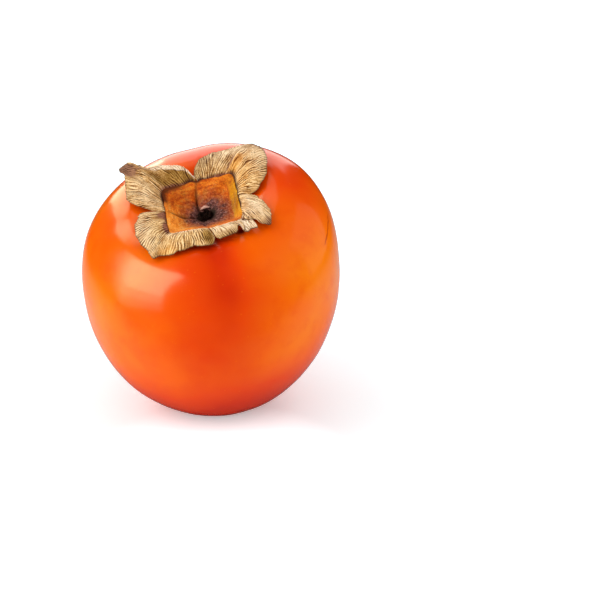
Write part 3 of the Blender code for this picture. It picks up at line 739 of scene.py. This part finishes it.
def make_cup():
    """The dish in the middle of the calyx, closed beneath so that it fills the fruit's hollow."""
    azimuths = np.arange(CUP_SEGMENTS) * 360.0 / CUP_SEGMENTS
    shares = np.linspace(0.0, 1.0, CUP_RINGS)[:, None]
    reach = cup_rim(azimuths) * shares
    reach = reach + RING_WAVER * noise(azimuths / 9.0, 4 * shares, seed=14) * shares
    x, y = reach * np.cos(np.radians(azimuths)), reach * np.sin(np.radians(azimuths))
    grit = GRIT_HEIGHT * noise(x / GRIT_SIZE, y / GRIT_SIZE, seed=11)
    pucker = PUCKER_HEIGHT * noise(azimuths / 9.0, reach / (2.5 * MM), seed=12)
    height = cup_height(azimuths, reach) + grit + pucker * bell(reach, PUCKER_REACH)
    over = cartesian(azimuths, reach, height)
    under = cartesian(azimuths, reach, crown_surface(azimuths, reach) + SKIN_CLEARANCE)
    rings = np.concatenate([over, under[-2::-CUP_UNDER_STEP], under[:1]])

    # Painted shade: the rim's dark corner and back, and the shaded back-left panel
    rim_shade = sum(cup_patch(azimuths, shares, *patch) for patch in RIM_SHADES)
    masks = {
        "crease": 0.95 * creases(azimuths, reach, CREASE_DARK_WIDTH) * np.sin(math.pi * shares) ** 0.5,
        "wall": step(0.77, 0.83, shares) * right_side(azimuths),
        "middle": bell(np.hypot(x - WITHERED_PLACE[0], y - WITHERED_PLACE[1]), WITHERED_RADIUS),
        "scar": bell(np.hypot(x - SCAR_PLACE[0], y - SCAR_PLACE[1]), SCAR_RADIUS),
        "streak": 0.5 + 0.5 * noise(azimuths / 14.0, shares * 24, seed=13),
        "bright": cup_patch(azimuths, shares, *BRIGHT_PANEL),
        "shade": np.maximum(rim_shade, cup_patch(azimuths, shares, *SHADED_PANEL)),
    }
    spare = np.zeros((len(rings) - CUP_RINGS, CUP_SEGMENTS))
    masks = {name: np.concatenate([values, spare]) for name, values in masks.items()}
    piece = make_turned_piece("calyx_dish", rings, masks, cup_material())
    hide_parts("calyx_cup")


def stem_material():
    """Dead stem wood, nearly black, with a few paler fibres."""
    stem = Surface("stem_wood", roughness=0.85, specular=0.05)
    grain = stem.noise(0.5 * MM, detail=5.0, roughness=0.7)
    colour = stem.ramp(grain, (0.35, 8, 2, 2), (0.58, 30, 12, 10), (0.8, 92, 60, 48))
    return stem.finish(colour, normal=stem.bump(grain, 0.3 * MM))


def make_stub():
    """The broken end of the stem: a rough dark knob with a hollow top and a ragged lip."""
    azimuths = np.arange(STUB_SEGMENTS) * 360.0 / STUB_SEGMENTS
    outline = smooth_path(STUB_OUTLINE, np.linspace(0.0, 1.0, STUB_RINGS))
    share, rise = outline[:, :1], outline[:, 1:]
    bark = 1 + 0.18 * noise(azimuths / 40.0, rise * 2, seed=21)
    bark = bark + 0.08 * noise(azimuths / 8.0, rise * 6, seed=22)
    lip = LIP_HEIGHT * noise(azimuths / 20.0, share * 4, seed=23) * np.sin(math.pi * np.clip(share, 0, 1))
    height = CUP_FLOOR_HEIGHT - STUB_SUNK + (STUB_LENGTH + STUB_TALLER) * rise + lip
    offset = cartesian(STUB_OFFSET_AZIMUTH, STUB_OFFSET, 0.0)
    rings = offset + cartesian(azimuths, STUB_RADIUS * share * bark, height)
    rings = np.concatenate([rings, rings[-1:]])
    rings[0] = rings[0].mean(axis=0)
    rings[-1] = rings[-1].mean(axis=0)
    piece = make_turned_piece("stem_end", rings, {}, stem_material())
    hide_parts("stem_stub")


def fibre_material():
    """A torn strip of pale inner bark."""
    strip = Surface("stem_fibre", roughness=0.7, specular=0.3)
    grain = strip.noise(0.35 * MM, detail=4.0, roughness=0.7)
    return strip.finish(strip.ramp(grain, (0.35, 150, 96, 84), (0.6, 222, 172, 152)))


def make_fibre():
    """The torn strip that curls up beside the stub, widest in its middle."""
    shares = np.linspace(0.0, 1.0, FIBRE_RINGS)
    middle = smooth_path(FIBRE_PATH, shares) * MM
    width = FIBRE_WIDTH * np.sin(math.pi * shares) ** 0.7
    along = unit(np.gradient(middle, axis=0))
    across = unit(np.cross(along, (0.0, 0.0, 1.0)))
    upward = np.cross(across, along)
    segments = np.arange(FIBRE_SEGMENTS)
    turn = np.radians(segments * 360.0 / FIBRE_SEGMENTS)[None, :, None]
    rough = 1 + 0.2 * noise(12 * shares[:, None], segments / 4, seed=24)
    ring = FIBRE_HALF_WIDTH * np.cos(turn) * across[:, None]
    ring = ring + FIBRE_HALF_THICKNESS * np.sin(turn) * upward[:, None]
    drift = cartesian(0.0, 0.0, middle[:, 2]) * [1, 1, 0]
    rings = (drift + middle)[:, None] + (width[:, None] * rough)[..., None] * ring
    piece = make_turned_piece("stem_fibre", rings, {}, fibre_material())


# ---- The sepals


def sepal_material():
    """Dry, papery sepal: pale ridges over dark valleys, and olive, ochre, plum, pale and scorched stains.
    The ridges and valleys, and some stains, are partly their own colours and partly painted light and
    shade.
    The root's groove and the fold under the brim get painted shade, and the margin a dark line that is
    partly painted shade.
    """
    leaf = Surface("dry_sepal", roughness=0.82, specular=0.12)
    cloud = leaf.noise(2.8 * MM, detail=4.0, roughness=0.6)
    grain = leaf.noise(0.45 * MM, detail=3.0, roughness=0.6)
    height = leaf.math("ADD", leaf.mask("ridge"), leaf.span(grain, 0.3, 0.7, -0.18, 0.18))
    height = leaf.math("ADD", height, leaf.span(cloud, 0.3, 0.7, -0.2, 0.16))
    # Pale ridges and dark valleys: partly the wrinkles' own colours, partly painted light on the ridges and
    # painted shade in the valleys
    colour = leaf.ramp(
        height, (0.0, 68, 34, 12), (0.28, 144, 92, 43), (0.55, 206, 156, 94), (0.95, 255, 222, 166)
    )
    # Olive: partly its own tint, partly painted shade on walls turned from the lamp and under folds
    olive = leaf.ramp(height, (0.0, 56, 30, 4), (0.4, 122, 80, 26), (0.9, 196, 150, 78))
    colour = leaf.mix(leaf.mask("olive"), colour, olive)
    ochre = leaf.ramp(height, (0.0, 118, 56, 14), (0.5, 222, 146, 60), (0.9, 252, 196, 108))
    colour = leaf.mix(leaf.mask("ochre"), colour, ochre)
    # Pale: partly its own colour, partly painted light on crests and on the brim
    pale = leaf.ramp(height, (0.0, 116, 76, 50), (0.4, 206, 168, 128), (0.8, 255, 232, 200))
    colour = leaf.mix(leaf.mask("pale"), colour, pale)
    # The brim painted pale: partly its paler underside, partly painted light on its upturned top
    colour = leaf.mix(leaf.mask("brim"), colour, pale)
    # Painted shade: a dark line along the fold between the brim and the wall below it
    from_halfway = leaf.math("ABSOLUTE", leaf.span(leaf.mask("brim"), 0.0, 1.0, -1.0, 1.0))
    lip = leaf.math("MULTIPLY", leaf.math("SUBTRACT", 1.0, from_halfway), 0.8)
    colour = leaf.mix(lip, colour, tone(92, 56, 26))
    specks = leaf.span(leaf.noise(0.5 * MM, detail=1.0), 0.66, 0.74, 0.0, 0.6)
    colour = leaf.mix(specks, colour, tone(98, 62, 36))
    uneven = leaf.span(grain, 0.3, 0.7, -0.2, 0.2)
    # Scorched brown, also used as painted shade beside folds and in torn gaps
    burnt_and_shaded = leaf.ramp(height, (0.0, 58, 28, 20), (1.0, 176, 122, 92))
    colour = leaf.mix(leaf.patch("scorch_and_shade", uneven, 0.25, 0.8), colour, burnt_and_shaded)
    # Painted shade in the groove at the root
    colour = leaf.mix(leaf.patch("root", uneven, 0.2, 0.9), colour, tone(70, 36, 32))
    # Plum: partly its own colour, partly painted shade in hollows
    plum = leaf.ramp(height, (0.0, 56, 16, 18), (1.0, 172, 112, 84))
    colour = leaf.mix(leaf.patch("plum", uneven, 0.25, 0.8), colour, plum)
    # A dark line along the margin, partly its dried brown edge and partly painted shade
    colour = leaf.mix(leaf.mask("edge"), colour, tone(106, 66, 38))
    return leaf.finish(colour, normal=leaf.bump(grain, 0.06 * MM))


def wrinkles(along, outward, blade, root_length, margin_length, seed):
    """Height of the papery wrinkles, 0 in the valleys and 1 on the ridges. They run outward and fork."""
    wander = noise(along * 30, outward * 3, seed=seed)
    depth = np.clip(outward + 0.2 * wander, 0.0, WRINKLE_FORKS[-1])
    total, power = 0.0, 0.0
    for number, level in enumerate(WRINKLE_FORKS):
        count = (root_length + (margin_length - root_length) * level) / WRINKLE_SPACING
        wobble = noise(along * count / 1.9, outward * blade / (1.8 * MM), seed=seed + 1 + number)
        lines = np.cos(2 * math.pi * (along * count + 0.5 * wobble))
        weight = np.clip(1 - np.abs(depth - level) / WRINKLE_FORKS[1], 0.0, 1.0)
        total = total + weight * lines
        power = power + weight**2
    across, out = along * margin_length, outward * blade
    vigour = 0.6 + 0.7 * noise(across / (1.0 * MM), out / (1.7 * MM), seed=seed + 5)
    level = 0.5 + 0.2 * noise(across / (1.7 * MM), out / (2.6 * MM), seed=seed + 6)
    return np.clip(level + 0.5 * vigour * total / np.sqrt(power), 0.0, 1.0) ** 0.8


def blot(spots, along, outward):
    """A mask of soft spots: each has its place, its spread both ways and its strength."""
    total = np.zeros(np.broadcast(along, outward).shape)
    for middle, out, width, length, strength in spots:
        total += strength * np.exp(-(((along - middle) / width) ** 2) - ((outward - out) / length) ** 2)
    return np.clip(total, 0.0, 1.0)


def nearest(share, count):
    """Which of so many rows or columns is nearest to a share of the grid."""
    return np.abs(np.linspace(0.0, 1.0, count) - share).argmin()


def fold_relief(folds, plan):
    """Height of the straight folds over the blade, whose flat places are in the plan."""
    total = np.zeros(plan.shape[:-1])
    for along_a, out_a, along_b, out_b, width, height in folds:
        start = plan[nearest(out_a, SEPAL_ROWS), nearest(along_a, SEPAL_COLUMNS)]
        run = plan[nearest(out_b, SEPAL_ROWS), nearest(along_b, SEPAL_COLUMNS)] - start
        part = np.clip(((plan - start) @ run) / (run @ run), 0.0, 1.0)
        off = np.linalg.norm(plan - start - part[..., None] * run, axis=-1)
        total += height * MM * bell(off, width * MM) * (0.35 + 0.65 * np.sin(math.pi * part))
    return total


def brim_mask(brim, along, outward, seed):
    """1 on the turned-over strip of a sepal that has one. It narrows to nothing along the margin."""
    if brim is None:
        return np.zeros(np.broadcast(along, outward).shape)
    end, start = brim
    start = start + (1 - start) * np.clip(along / end, 0.0, 1.0) ** 5
    return step(start, start + 0.05, outward + 0.03 * noise(along * 30, seed=seed)) * (along < end)


def make_sepal(name, shape, surface, seed):
    """One sepal: its blade, raised by arches, folds, waves and wrinkles, kept clear of the skin."""
    along = np.linspace(0.0, 1.0, SEPAL_COLUMNS)
    outward = np.linspace(0.0, 1.0, SEPAL_ROWS)[:, None]
    root_azimuth = shape["corner"] + (along - 0.5) * SEPAL_BASE_SPREAD
    root_reach = cup_rim(root_azimuth)
    azimuth, reach, lift, arch = smooth_path(shape["margin"], along).T
    reach, lift, arch = reach * MM, lift * MM, arch * MM
    margin = cartesian(azimuth, reach, 0.0)
    length = np.concatenate([[0.0], np.cumsum(np.linalg.norm(np.diff(margin, axis=0), axis=-1))])
    for number, (tooth, deep) in enumerate(FRAY):
        reach = reach + deep * noise(length / tooth, seed=seed + 30 + number)

    root = cartesian(root_azimuth, root_reach, 0.0)
    tip = cartesian(azimuth, reach, 0.0)
    plan = root * (1 - outward[..., None]) + tip * outward[..., None]
    azimuths, reaches, _ = cylindrical(plan)
    blade = np.linalg.norm(tip - root, axis=-1)
    from_root = outward * blade

    root_lift = RIM_HEIGHT - crown_surface(root_azimuth, root_reach)
    bend = np.sin(math.pi * outward ** (math.log(0.5) / math.log(shape["arch_at"])))
    lifts = root_lift * (1 - outward) + lift * outward + arch * bend + fold_relief(shape["folds"], plan)
    groove = blot(shape["root"], along, outward)
    lifts = lifts - ROOT_GROOVE_DEPTH * groove * bell(from_root, ROOT_GROOVE_WIDTH)
    waves = noise(length / WAVE_LENGTH, from_root / WAVE_WIDTH, seed=seed + 40)
    lifts = lifts + WAVE_HEIGHT * waves * step(0.1, 0.9, outward)
    base = cartesian(azimuths, reaches, crown_surface(azimuths, reaches) + lifts)

    ridge = wrinkles(along, outward, blade, ROOT_LENGTH, length[-1], seed)
    normal = unit_normals(base)
    relief = WRINKLE_HEIGHT * (ridge - WRINKLE_BASE) * step(0.0, 0.08, outward)
    upper = base + normal * relief[..., None]
    lower = upper - normal * SEPAL_THICKNESS
    for sheet, clearance in ((upper, SKIN_CLEARANCE + SEPAL_THICKNESS), (lower, SKIN_CLEARANCE)):
        skin = crown_surface(*cylindrical(sheet)[:2])
        sheet[..., 2] = np.maximum(sheet[..., 2], skin + clearance)

    # How far the painted shade in the root's groove reaches
    shaded_width = ROOT_SHADE_WIDTH * (1 + 0.6 * noise(along * 14, seed=seed + 50))
    # Stains, some of them painted light and shade
    masks = {key: blot(shape[key], along, outward) for key in STAINS_AND_PAINTED_LIGHT}
    masks["ridge"] = ridge
    masks["root"] = groove * bell(from_root, shaded_width)
    masks["brim"] = brim_mask(shape.get("brim"), along, outward, seed + 51)
    masks["edge"] = EDGE_STRENGTH * bell((1 - outward) * blade, EDGE_WIDTH)
    masks = {key: np.tile(values.ravel(), 2) for key, values in masks.items()}
    points = place(np.vstack([upper.reshape(-1, 3), lower.reshape(-1, 3)]))
    faces, wall = sheet_faces(SEPAL_ROWS, SEPAL_COLUMNS)
    piece = make_piece("dry_" + name, points, faces, masks, surface, flat_faces=wall)
    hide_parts(name)


# ---- The studio


def direction(azimuth, elevation):
    """A unit vector: azimuth 0 is the camera's side and 90 is to its right."""
    turn, rise = math.radians(azimuth), math.radians(elevation)
    return Vector((math.sin(turn) * math.cos(rise), -math.cos(turn) * math.cos(rise), math.sin(rise)))


def make_camera():
    """The camera at the photo's height, aimed a little beside the fruit, as the photo is framed."""
    back = direction(0.0, CAMERA_ELEVATION)
    up = direction(180.0, 90.0 - CAMERA_ELEVATION)
    data = bpy.data.cameras.new("camera")
    data.lens = CAMERA_LENS
    data.sensor_width = CAMERA_SENSOR
    data.clip_start = 10 * MM
    camera = bpy.data.objects.new("camera", data)
    aside = Vector((CAMERA_ASIDE, 0.0, 0.0))
    camera.location = Vector(GIRTH_MIDDLE) + back * CAMERA_DISTANCE + aside - up * CAMERA_BELOW
    camera.rotation_euler = (math.radians(90.0 - CAMERA_ELEVATION), 0.0, 0.0)
    bpy.context.scene.collection.objects.link(camera)
    bpy.context.scene.camera = camera


def make_light(name, left, right, low, high, turn, radiance, colour):
    """A rectangular light that faces the fruit and fills the given part of its view."""
    azimuth, elevation = (left + right) / 2, (low + high) / 2
    distance = SOFT_BOX_DISTANCE + SOFT_BOX_GAP * len(bpy.data.lights)
    level_distance = distance * math.cos(math.radians(elevation))
    data = bpy.data.lights.new(name, "AREA")
    data.shape = "RECTANGLE"
    data.size = 2 * level_distance * math.tan(math.radians(right - left) / 2)
    data.size_y = 2 * distance * math.tan(math.radians(high - low) / 2)
    data.energy = radiance * math.pi * data.size * data.size_y
    data.color = colour
    light = bpy.data.objects.new(name, data)
    towards = direction(azimuth, elevation)
    light.location = Vector(GIRTH_MIDDLE) + towards * distance
    facing = towards.to_track_quat("Z", "Y")
    light.rotation_euler = (facing @ Quaternion((0.0, 0.0, 1.0), math.radians(turn))).to_euler()
    light.visible_camera = False
    bpy.context.scene.collection.objects.link(light)
    return light


def make_soft_box(name, *settings):
    """A soft box in two parts: one shows only in the gloss, the other lights only what is matt."""
    *shape, shine, fill, colour = settings
    if shine:
        make_light(name + "_shine", *shape, shine, colour).visible_diffuse = False
    if fill:
        make_light(name + "_fill", *shape, fill, WHITE).visible_glossy = False


def make_world():
    """A white room. The gloss sees it black, so that the soft boxes and the floor draw all highlights."""
    world = bpy.data.worlds.new("studio")
    world.use_nodes = True
    tree = world.node_tree
    background = tree.nodes["Background"]
    background.inputs["Color"].default_value = (1.0, 1.0, 1.0, 1.0)
    path = tree.nodes.new("ShaderNodeLightPath")
    level = tree.nodes.new("ShaderNodeMapRange")
    level.inputs["To Min"].default_value = ROOM_LIGHT
    level.inputs["To Max"].default_value = ROOM_GLOSS
    tree.links.new(path.outputs["Is Glossy Ray"], level.inputs["Value"])
    seen = tree.nodes.new("ShaderNodeMath")
    seen.operation = "MAXIMUM"
    tree.links.new(path.outputs["Is Camera Ray"], seen.inputs[0])
    tree.links.new(level.outputs[0], seen.inputs[1])
    tree.links.new(seen.outputs[0], background.inputs["Strength"])
    bpy.context.scene.world = world


def make_floor():
    """White paper. It glows where the photo's floor is brightest, and the gloss sees only a ring of it."""
    half = FLOOR_SIZE / 2
    mesh = bpy.data.meshes.new("floor")
    corners = [(-half, -half), (half, -half), (half, half), (-half, half)]
    mesh.from_pydata([(x, y, -FLOOR_DROP) for x, y in corners], [], [(0, 1, 2, 3)])
    paper = Surface("white_paper", roughness=0.9, specular=0.1)
    path = paper.add("ShaderNodeLightPath")
    distance = paper.add("ShaderNodeVectorMath", {0: paper.place}, operation="LENGTH").outputs["Value"]
    gloss = paper.span(distance, *FLOOR_GLOSS_STARTS, 0.0, FLOOR_GLOSS)
    gloss = paper.math("MULTIPLY", gloss, paper.span(distance, *FLOOR_GLOSS_ENDS, 1.0, 0.0))
    ahead = paper.add("ShaderNodeSeparateXYZ", {0: paper.place}).outputs["Y"]
    gloss = paper.math("MULTIPLY", gloss, paper.span(ahead, *FLOOR_GLOSS_AHEAD, 1.0, FLOOR_GLOSS_LEAST))
    shade = paper.span(path.outputs["Is Glossy Ray"], 0.0, 1.0, FLOOR_PALE, gloss)
    shade = paper.mix(path.outputs["Is Camera Ray"], shade, FLOOR_SEEN)
    front = paper.add("ShaderNodeVectorMath", {0: paper.place, 1: FLOOR_FRONT}, operation="DISTANCE")
    glow = paper.span(front.outputs["Value"], *FLOOR_FRONT_REACH, FLOOR_FRONT_GLOW, FLOOR_GLOW)
    far_glow = paper.span(distance, *FLOOR_FAR_REACH, FLOOR_GLOW, FLOOR_FAR_GLOW)
    glow = paper.math("MULTIPLY", path.outputs["Is Camera Ray"], paper.math("MAXIMUM", glow, far_glow))
    paper.shader.inputs["Emission Color"].default_value = (1.0, 1.0, 1.0, 1.0)
    paper.plug(glow, paper.shader.inputs["Emission Strength"])
    mesh.materials.append(paper.finish(shade))
    floor = bpy.data.objects.new("floor", mesh)
    bpy.context.scene.collection.objects.link(floor)


make_camera()
make_fruit()
make_cup()
make_stub()
make_fibre()
dry_leaf = sepal_material()
for number, (name, shape) in enumerate(SEPALS.items()):
    make_sepal(name, shape, dry_leaf, seed=100 * (number + 1))
make_floor()
make_world()
for name, settings in SOFT_BOXES.items():
    make_soft_box(name, *settings)
bpy.context.scene.view_settings.view_transform = "Standard"
